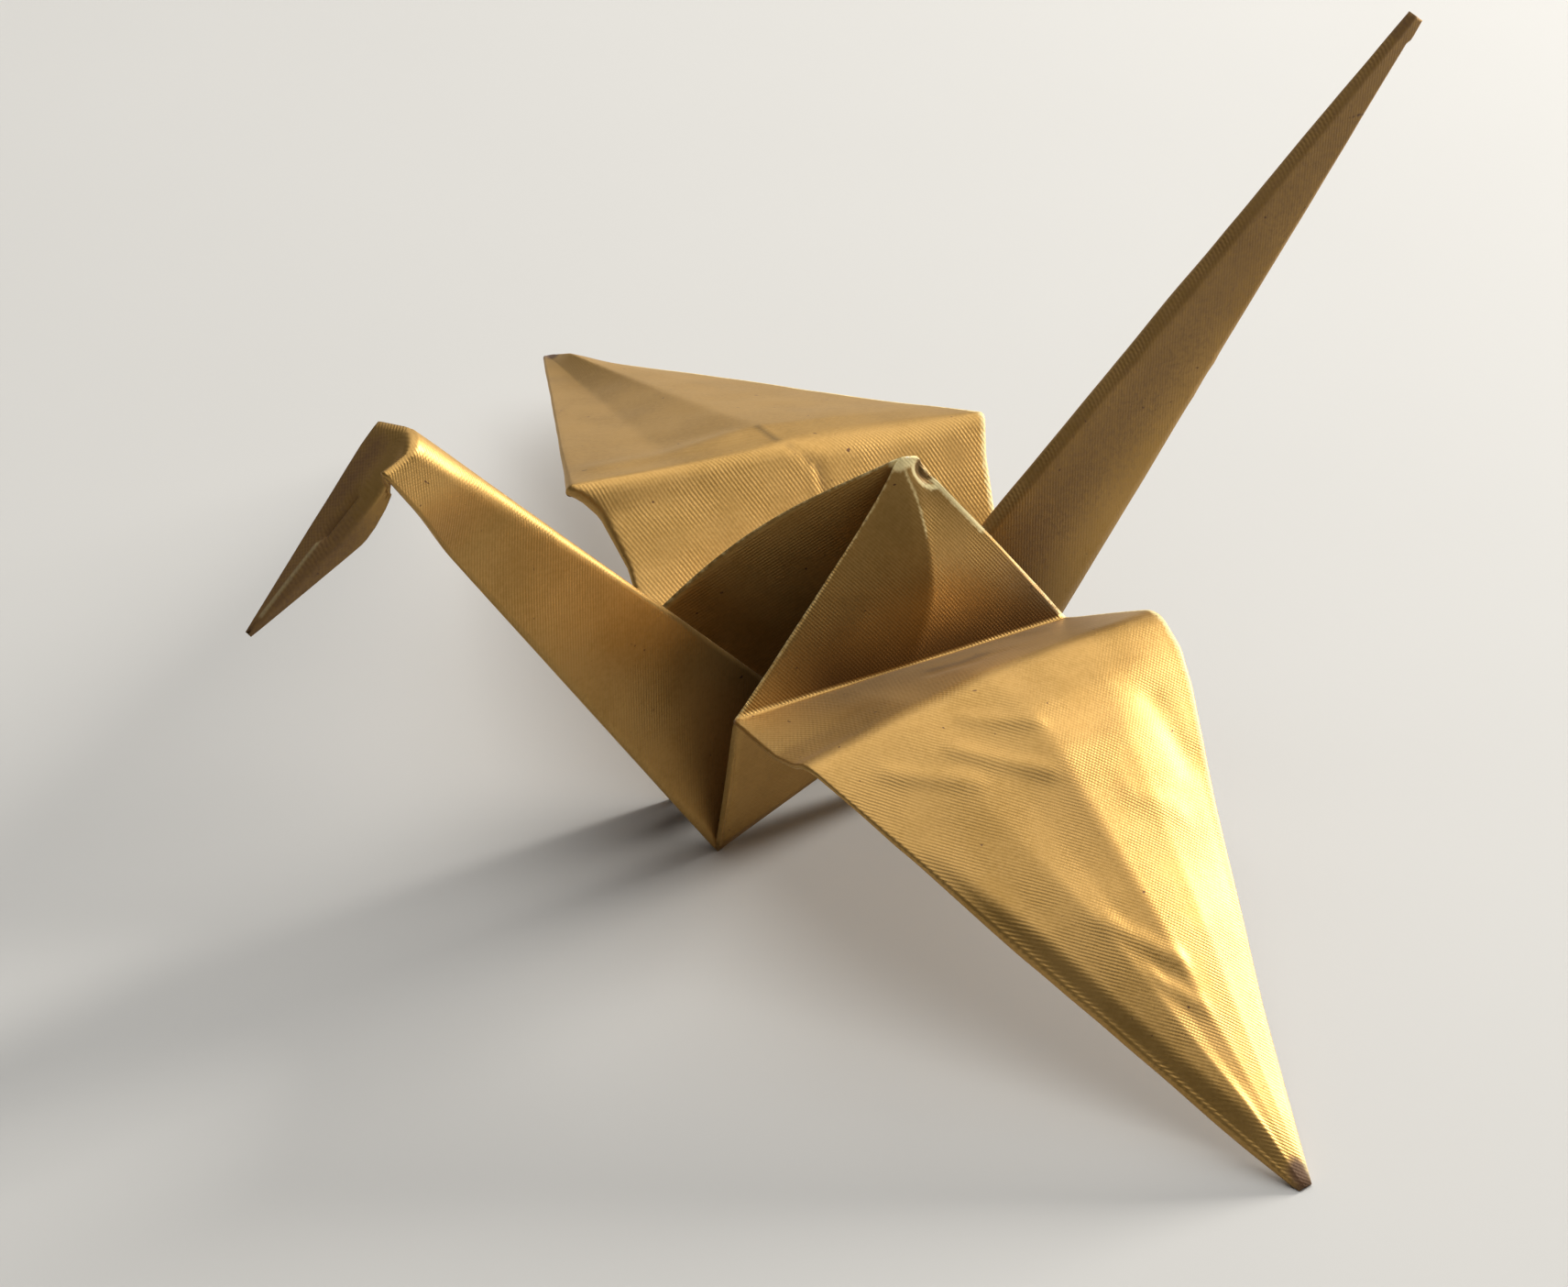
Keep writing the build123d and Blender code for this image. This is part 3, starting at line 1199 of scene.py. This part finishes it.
    def worn(self, places: Points) -> dict[Wear, Points]:
        """Work out the wear, the painted shade and the painted highlight.

        Args:
            places: The places.

        Returns:
            For each kind of wear or painted light, its share at each place.
        """
        gone = {kind: np.zeros(len(places)) for kind in Wear}
        for wear in [wear for part in self.parts for wear in part.wear()]:
            share = np.exp(-((self.distance(places, wear.line) / wear.width) ** 2))
            if wear.toward is not None:
                share *= np.clip((places - wear.line[0]) @ wear.toward / self.wear_edge, 0.0, 1.0)
            gone[wear.kind] = np.maximum(gone[wear.kind], wear.strength * share)
        return gone

    def thicken(self, sheet: bmesh.types.BMesh, thick: Points, lining: Points) -> bmesh.types.BMesh:
        """Give the sheet its thickness.

        Args:
            sheet: Middle surface, with all faces turned to the gold side.
            thick: Thickness of each vertex.
            lining: Share of the pale back at each vertex.

        Returns:
            The closed sheet in metres, with its worn places, its painted shade and highlight, and its lined
            places as layers.
        """
        sheet.normal_update()
        place = sheet.loops.layers.float_vector["sheet_place"]
        solid = bmesh.new()
        new_place = solid.loops.layers.float_vector.new("sheet_place")
        worn = self.worn(np.array([vert.co for vert in sheet.verts]))
        wear_and_light_layers = {kind: solid.verts.layers.float.new(kind.value) for kind in Wear}
        lined_layer = solid.verts.layers.float.new("lined")
        upper, lower = [], []
        for count, vert in enumerate(sheet.verts):
            half = vert.normal * (thick[count] / 2)
            sides = ((upper, vert.co + half, 0.0), (lower, vert.co - half, lining[count]))
            for made, spot, lined in sides:
                spot.z = max(spot.z, 0.0)
                new = solid.verts.new((Vector(spot) + Vector(self.shift)) * MM)
                new[lined_layer] = lined
                for kind, layer in wear_and_light_layers.items():
                    new[layer] = worn[kind][count]
                made.append(new)
        for face in sheet.faces:
            ids = [vert.index for vert in face.verts]
            spots = [loop[place].copy() for loop in face.loops]
            self.lay(solid, new_place, [upper[k] for k in ids], spots)
            self.lay(solid, new_place, [lower[k] for k in reversed(ids)], spots[::-1])
            for loop in face.loops:
                if loop.edge.is_boundary:
                    start, end = loop.vert.index, loop.link_loop_next.vert.index
                    edge = [loop[place].copy(), loop.link_loop_next[place].copy()]
                    around = [upper[end], upper[start], lower[start], lower[end]]
                    self.lay(solid, new_place, around, [edge[1], edge[0], edge[0], edge[1]])
        return solid

    @staticmethod
    def lay(solid: bmesh.types.BMesh, place: Layer, verts: list, spots: list) -> None:
        """Add one face.

        Args:
            solid: Mesh that takes the face.
            place: Layer for the place on the sheet.
            verts: Corners of the face.
            spots: Place on the sheet of each corner.
        """
        face = solid.faces.new(verts)
        face.smooth = True
        for loop, spot in zip(face.loops, spots):
            loop[place] = spot

    def build(self, name: str, material: bpy.types.Material) -> bpy.types.Object:
        """Make the sheet's object.

        Args:
            name: Name of the piece.
            material: Finish of the paper.

        Returns:
            The new object, linked to the scene.
        """
        sheet, thick, lining = self.weld()
        sheet.verts.index_update()
        bmesh.ops.recalc_face_normals(sheet, faces=sheet.faces[:])
        sheet.faces.ensure_lookup_table()
        sheet.normal_update()
        if sheet.faces[0].normal.z < 0:
            bmesh.ops.reverse_faces(sheet, faces=sheet.faces[:])
        self.soften(sheet)
        self.crumple(sheet)
        self.press(sheet)
        solid = self.thicken(sheet, thick, lining)
        limit = radians(self.sharp_angle)
        for edge in solid.edges:
            if len(edge.link_faces) == 2 and edge.calc_face_angle(0.0) > limit:
                edge.smooth = False
        mesh = bpy.data.meshes.new(name)
        solid.to_mesh(mesh)
        solid.free()
        sheet.free()
        mesh.materials.append(material)
        piece = bpy.data.objects.new(name, mesh)
        bpy.context.scene.collection.objects.link(piece)
        return piece


@dataclass
class Shading:
    """Steps from which a finish is put together, in one node tree."""

    tree: bpy.types.NodeTree

    def feed(self, node: bpy.types.Node, inputs: dict[str | int, Feed]) -> None:
        """Set or link the inputs of a node.

        Args:
            node: The node.
            inputs: A number, a colour or another node's output for each input.
        """
        for name, value in inputs.items():
            if isinstance(value, bpy.types.NodeSocket):
                self.tree.links.new(value, node.inputs[name])
            else:
                node.inputs[name].default_value = value

    def layer(self, name: str) -> bpy.types.Node:
        """Read a layer of the mesh.

        Args:
            name: Name of the layer.

        Returns:
            The node that holds its values.
        """
        node = self.tree.nodes.new("ShaderNodeAttribute")
        node.attribute_name = name
        return node

    def noise(self, vector: Socket, scale: float, detail: float) -> Socket:
        """Make a noise.

        Args:
            vector: Coordinates.
            scale: Waves to a metre.
            detail: Number of finer layers.

        Returns:
            The noise, from 0 to 1.
        """
        node = self.tree.nodes.new("ShaderNodeTexNoise")
        self.feed(node, {"Vector": vector, "Scale": scale, "Detail": detail})
        return node.outputs["Fac"]

    def math(self, kind: str, first: Feed, second: Feed, third: float = 0.0) -> Socket:
        """Combine numbers.

        Args:
            kind: Name of the operation.
            first: First number.
            second: Second number.
            third: Number that some operations add.

        Returns:
            The result.
        """
        node = self.tree.nodes.new("ShaderNodeMath")
        node.operation = kind
        self.feed(node, {0: first, 1: second, 2: third})
        return node.outputs[0]

    def scaled(self, source: Socket, factor: float, base: float = 0.0) -> Socket:
        """Multiply a number by a factor and add a base."""
        return self.math("MULTIPLY_ADD", source, factor, base)

    def ramp(self, source: Socket, limits: tuple[float, float]) -> Socket:
        """Spread the range between two limits smoothly over 0 to 1.

        Args:
            source: Number to spread.
            limits: Lower and upper limit.

        Returns:
            The result.
        """
        node = self.tree.nodes.new("ShaderNodeMapRange")
        node.interpolation_type = "SMOOTHSTEP"
        self.feed(node, {"Value": source, "From Min": limits[0], "From Max": limits[1]})
        return node.outputs["Result"]

    def mix(self, share: Socket, first: Feed, second: Feed) -> Socket:
        """Mix two colours.

        Args:
            share: Share of the second colour.
            first: First colour, plain or another node's output.
            second: Second colour, plain or another node's output.

        Returns:
            The mixed colour.
        """
        node = self.tree.nodes.new("ShaderNodeMix")
        node.data_type = "RGBA"
        self.feed(node, {0: share, 6: first, 7: second})
        return node.outputs[2]


@dataclass(frozen=True)
class GoldPaper:
    """Satin gold paper with a fine woven emboss, rubbed pale on its folds, with painted shade and a painted
    highlight laid on the same layers.
    """

    gold: Colour = (0.47, 0.28, 0.085, 1.0)
    deep_gold: Colour = (0.39, 0.225, 0.06, 1.0)
    # Pale paper where the gold is worn off, also used for the painted highlight on the rear ridge
    bare_paper_and_highlight: Colour = (0.95, 0.79, 0.40, 1.0)
    # Grime colour, for real specks and soiled tips and also for painted shade on the head and tail
    soil_and_shade: Colour = (0.135, 0.066, 0.032, 1.0)
    # Dark gold of the painted shade in folds and recesses
    painted_shade_colour: Colour = (0.075, 0.040, 0.014, 1.0)
    back: Colour = (0.78, 0.74, 0.66, 1.0)
    metallic: float = 0.8
    roughness: float = 0.48
    rough_spread: float = 0.12
    bare_roughness: float = 0.3
    coat: float = 0.1
    coat_roughness: float = 0.3
    sheen: float = 0.08
    sheen_roughness: float = 0.4
    sheen_tint: Colour = (1.0, 0.90, 0.80, 1.0)
    edge_tint: Colour = (1.0, 0.84, 0.58, 1.0)
    cloud_scale: float = 160.0
    fleck_scale: float = 2600.0
    speck_scale: float = 1500.0
    patch_scale: float = 230.0
    cloud_detail: float = 3.0
    fleck_detail: float = 2.0
    speck_detail: float = 1.0
    patch_detail: float = 2.0
    cloud_share: float = 0.6
    tone_limits: tuple[float, float] = (0.3, 0.62)
    speck_limits: tuple[float, float] = (0.76, 0.82)
    bare_limits: tuple[float, float] = (0.22, 0.7)
    bare_fleck: float = 0.5
    dirt_limits: tuple[float, float] = (0.2, 0.8)
    dirt_fleck: float = 0.3
    patch_limits: tuple[float, float] = (0.35, 0.65)
    patch_spread: float = 0.8
    patch_least: float = 0.35
    thread: float = 0.27
    thread_turn: float = 45.0
    thread_depth: float = 0.24
    thread_height: float = 0.0001
    thread_waver: float = 1.2
    waver_detail: float = 2.0
    waver_scale: float = 0.6
    warp_share: float = 0.75
    emboss_fleck: float = 0.5

    def make(self) -> bpy.types.Material:
        """Make the material."""
        material = bpy.data.materials.new("gold_paper_finish")
        material.use_nodes = True
        tree = material.node_tree
        tree.nodes.clear()
        out = tree.nodes.new("ShaderNodeOutputMaterial")
        shader = tree.nodes.new("ShaderNodeBsdfPrincipled")
        tree.links.new(shader.outputs["BSDF"], out.inputs["Surface"])
        shader.inputs["Coat Weight"].default_value = self.coat
        shader.inputs["Coat Roughness"].default_value = self.coat_roughness
        shader.inputs["Sheen Weight"].default_value = self.sheen
        shader.inputs["Sheen Roughness"].default_value = self.sheen_roughness
        shader.inputs["Sheen Tint"].default_value = self.sheen_tint
        shader.inputs["Specular Tint"].default_value = self.edge_tint

        steps = Shading(tree)
        place = tree.nodes.new("ShaderNodeTexCoord").outputs["Object"]
        cloud = steps.noise(place, self.cloud_scale, self.cloud_detail)
        fleck = steps.noise(place, self.fleck_scale, self.fleck_detail)
        gold = self.speckled_and_shaded_gold(steps, place, cloud, fleck)
        # Pale layer: gold worn off, plus the painted highlight along the hump's rear ridge
        rubbed = steps.layer(Wear.RUBBED_AND_HIGHLIGHT.value).outputs["Fac"]
        ragged = steps.math("ADD", rubbed, steps.scaled(fleck, self.bare_fleck, -self.bare_fleck / 2))
        bare_and_highlight = steps.ramp(ragged, self.bare_limits)
        # Soiled layer: real grime at the tips and painted shade on the head and tail
        soiled = steps.layer(Wear.SOILED_AND_SHADED.value).outputs["Fac"]
        patchy = steps.math("ADD", soiled, steps.scaled(fleck, self.dirt_fleck, -self.dirt_fleck / 2))
        dirt_and_shade = steps.ramp(patchy, self.dirt_limits)
        lined = steps.layer("lined").outputs["Fac"]
        colour = steps.mix(bare_and_highlight, gold, self.bare_paper_and_highlight)
        colour = steps.mix(dirt_and_shade, colour, self.soil_and_shade)
        dull = steps.math("MAXIMUM", steps.math("MAXIMUM", bare_and_highlight, dirt_and_shade), lined)
        rough = steps.scaled(cloud, self.rough_spread, self.roughness - self.rough_spread / 2)
        steps.feed(shader, {
            "Base Color": steps.mix(lined, colour, self.back),
            "Metallic": steps.scaled(dull, -self.metallic, self.metallic),
            "Roughness": steps.math("ADD", rough, steps.scaled(dull, self.bare_roughness)),
            "Normal": self.emboss(steps, place, fleck),
        })
        return material

    def speckled_and_shaded_gold(self, steps: Shading, place: Socket, cloud: Socket, fleck: Socket) -> Socket:
        """Colour the gold side, with its specks and the painted shade in its folds and recesses.

        Args:
            steps: Steps of the finish.
            place: Coordinates.
            cloud: Wide noise.
            fleck: Fine noise.

        Returns:
            The colour.
        """
        fine = steps.scaled(fleck, 1 - self.cloud_share)
        tone = steps.math("ADD", steps.scaled(cloud, self.cloud_share), fine)
        gold = steps.mix(steps.ramp(tone, self.tone_limits), self.deep_gold, self.gold)
        speck = steps.noise(place, self.speck_scale, self.speck_detail)
        gold = steps.mix(steps.ramp(speck, self.speck_limits), gold, self.soil_and_shade)
        # Painted shade mixed over the gold
        return steps.mix(steps.layer(Wear.PAINTED_SHADE.value).outputs["Fac"], gold, self.painted_shade_colour)

    def emboss(self, steps: Shading, place: Socket, fleck: Socket) -> Socket:
        """Raise the woven emboss, which is worn in patches.

        Args:
            steps: Steps of the finish.
            place: Coordinates.
            fleck: Fine noise.

        Returns:
            The surface direction.
        """
        warp = steps.scaled(self.threads(steps, self.thread_turn), self.warp_share)
        weft = steps.scaled(self.threads(steps, -self.thread_turn), 1 - self.warp_share)
        patch = steps.ramp(steps.noise(place, self.patch_scale, self.patch_detail), self.patch_limits)
        patch = steps.scaled(patch, self.patch_spread, self.patch_least)
        cloth = steps.math("MULTIPLY", steps.math("ADD", warp, weft), patch)
        cloth = steps.math("ADD", cloth, steps.scaled(fleck, self.emboss_fleck))
        bump = steps.tree.nodes.new("ShaderNodeBump")
        steps.feed(bump, {"Strength": self.thread_depth, "Distance": self.thread_height, "Height": cloth})
        return bump.outputs["Normal"]

    def threads(self, steps: Shading, turn: float) -> Socket:
        """Make one direction of the emboss on the flat sheet.

        Args:
            steps: Steps of the finish.
            turn: Angle of the threads to the sheet's diagonal.

        Returns:
            Their height.
        """
        mapping = steps.tree.nodes.new("ShaderNodeMapping")
        place = steps.layer("sheet_place").outputs["Vector"]
        steps.feed(mapping, {"Vector": place, "Rotation": (0.0, 0.0, radians(turn))})
        wave = steps.tree.nodes.new("ShaderNodeTexWave")
        steps.feed(wave, {
            "Vector": mapping.outputs["Vector"],
            "Scale": 2 * pi / WAVE_RATE / self.thread,
            "Distortion": self.thread_waver,
            "Detail": self.waver_detail,
            "Detail Scale": self.waver_scale,
        })
        return wave.outputs["Fac"]


@dataclass(frozen=True)
class Camera:
    """Camera at the photograph's viewing angle, in the fold frame."""

    azimuth: float = -33.785
    elevation: float = 37.245
    roll: float = 4.794
    distance: float = 366.16
    focal_pixels: float = 4694.5
    image_width: float = 1711.0
    sensor: float = 36.0
    target: tuple[float, float, float] = (-9.277, 0.0, 17.23)
    clip_start: float = 0.01
    clip_end: float = 20.0

    def make(self, shift: Points) -> None:
        """Make the scene's camera.

        Args:
            shift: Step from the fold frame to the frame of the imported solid.
        """
        az, el, roll = radians(self.azimuth), radians(self.elevation), radians(self.roll)
        back = point(sin(az) * cos(el), -cos(az) * cos(el), sin(el))
        right = point(cos(az), sin(az), 0.0)
        up = np.cross(back, right)
        across = cos(roll) * right + sin(roll) * up
        upright = -sin(roll) * right + cos(roll) * up
        place = (np.array(self.target) + shift + back * self.distance) * MM
        data = bpy.data.cameras.new("camera")
        data.sensor_fit = "HORIZONTAL"
        data.sensor_width = self.sensor
        data.lens = self.focal_pixels / self.image_width * self.sensor
        data.clip_start = self.clip_start
        data.clip_end = self.clip_end
        camera = bpy.data.objects.new("camera", data)
        turn = np.eye(4)
        turn[:3, 0], turn[:3, 1], turn[:3, 2], turn[:3, 3] = across, upright, back, place
        camera.matrix_world = Matrix(turn.tolist())
        bpy.context.scene.collection.objects.link(camera)
        bpy.context.scene.camera = camera


@dataclass(frozen=True)
class Lamp:
    """Soft lamp that looks at the middle of the floor."""

    name: str
    way: tuple[float, float, float]
    distance: float
    width: float
    height: float
    power: float
    colour: tuple[float, float, float]

    def make(self) -> None:
        """Set the lamp."""
        way = Vector(self.way).normalized()
        data = bpy.data.lights.new(self.name, "AREA")
        data.shape = "RECTANGLE"
        data.size = self.width
        data.size_y = self.height
        data.energy = self.power
        data.color = self.colour
        lamp = bpy.data.objects.new(self.name, data)
        lamp.location = way * self.distance
        lamp.rotation_euler = way.to_track_quat("Z", "Y").to_euler()
        bpy.context.scene.collection.objects.link(lamp)


@dataclass(frozen=True)
class Studio:
    """Pale floor, a window light from the tail's side, two soft lights above and an even fill."""

    floor_half: float = 4.0
    floor_colour: Colour = (0.65, 0.64, 0.615, 1.0)
    floor_shade: Colour = (0.62, 0.61, 0.585, 1.0)
    floor_roughness: float = 0.9
    floor_clouds: float = 14.0
    floor_detail: float = 3.0
    window: Lamp = Lamp("window", (0.965, 0.05, 0.26), 0.9, 0.10, 0.32, 12.4, (1.0, 0.97, 0.92))
    overhead: Lamp = Lamp("overhead", (0.25, 0.0, 0.97), 1.0, 1.3, 1.3, 8.4, (1.0, 0.99, 0.97))
    back: Lamp = Lamp("back", (0.45, 0.66, 0.60), 1.1, 0.9, 0.9, 3.2, (1.0, 0.99, 0.97))
    fill: float = 0.07
    fill_colour: Colour = (0.97, 0.98, 1.0, 1.0)

    def floor(self) -> None:
        """Lay the floor."""
        half = self.floor_half
        mesh = bpy.data.meshes.new("floor")
        corners = [(-half, -half, 0), (half, -half, 0), (half, half, 0), (-half, half, 0)]
        mesh.from_pydata(corners, [], [(0, 1, 2, 3)])
        material = bpy.data.materials.new("pale_floor")
        material.use_nodes = True
        steps = Shading(material.node_tree)
        place = steps.tree.nodes.new("ShaderNodeTexCoord").outputs["Object"]
        cloud = steps.noise(place, self.floor_clouds, self.floor_detail)
        colour = steps.mix(cloud, self.floor_shade, self.floor_colour)
        shader = steps.tree.nodes["Principled BSDF"]
        steps.feed(shader, {"Base Color": colour, "Roughness": self.floor_roughness})
        mesh.materials.append(material)
        floor = bpy.data.objects.new("floor", mesh)
        bpy.context.scene.collection.objects.link(floor)

    def lights(self) -> None:
        """Set the lamps and the even fill."""
        for lamp in (self.window, self.overhead, self.back):
            lamp.make()
        world = bpy.data.worlds.new("studio")
        world.use_nodes = True
        sky = world.node_tree.nodes["Background"]
        sky.inputs["Color"].default_value = self.fill_colour
        sky.inputs["Strength"].default_value = self.fill
        bpy.context.scene.world = world

    def make(self) -> None:
        """Make the floor, the lights and the plain view."""
        self.floor()
        self.lights()
        bpy.context.scene.view_settings.view_transform = "Standard"


def main() -> None:
    """Build the crane and the studio, and report each piece."""
    logging.basicConfig(level=logging.INFO, format="%(message)s")
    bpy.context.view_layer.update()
    folds = FoldPoints()
    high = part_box(NODE)[1]
    near, far = near_wing(folds), far_wing(folds)
    tip_reach = max(end[1] for end in far.edges(1.0))
    shift = point(high[0] / MM - folds.tail_end()[0], high[1] / MM - tip_reach, 0.0)
    parts = [Hump(folds), BodySides(folds), near, far, NeckAndHead(folds), Tail(folds)]
    crane = FoldedSheet(parts, shift).build("crane_sheet", GoldPaper().make())
    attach(crane, BODY)
    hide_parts(NODE)
    log.info("%s: %d faces", crane.name, len(crane.data.polygons))

    Camera().make(shift)
    Studio().make()
    log.info("camera and studio are set")


if __name__ == "__main__":
    main()
